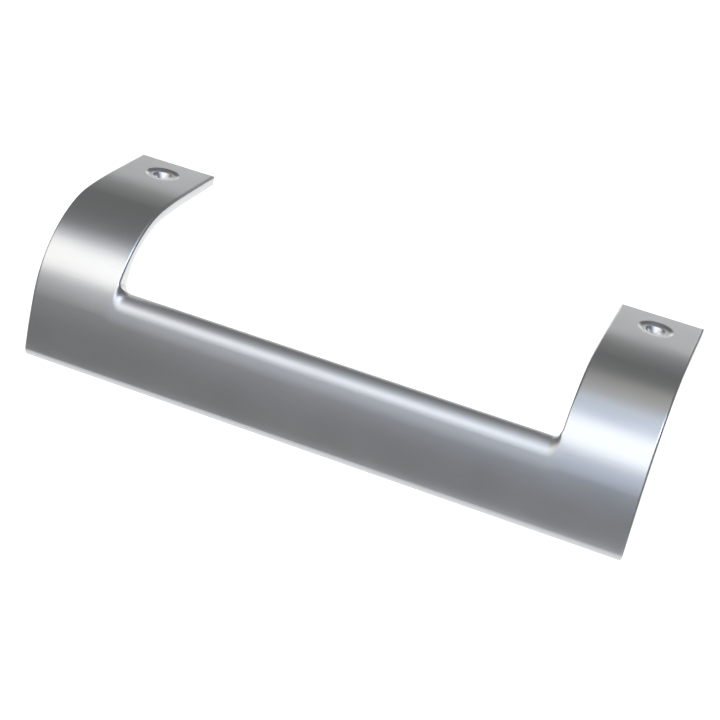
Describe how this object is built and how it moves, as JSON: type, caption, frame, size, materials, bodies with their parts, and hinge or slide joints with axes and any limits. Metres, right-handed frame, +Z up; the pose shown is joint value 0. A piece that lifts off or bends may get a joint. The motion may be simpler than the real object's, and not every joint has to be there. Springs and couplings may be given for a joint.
{
  "type": "refrigerator door handle",
  "caption": "Bent aluminium plate handle: two flat screw arms curve down into a wide grip below a finger window.",
  "frame": {"origin": "on the arms' seat plane, midway between the centres of the two screw holes", "axes": "+X along the handle, +Y back over the door, away from the grip, +Z up out of the arms' outer faces"},
  "size_m": [0.2224, 0.079, 0.057],
  "materials": {
    "satin_aluminium": "satin"
  },
  "bodies": {
    "root": {"handle": "satin_aluminium"}
  },
  "joints": []
}
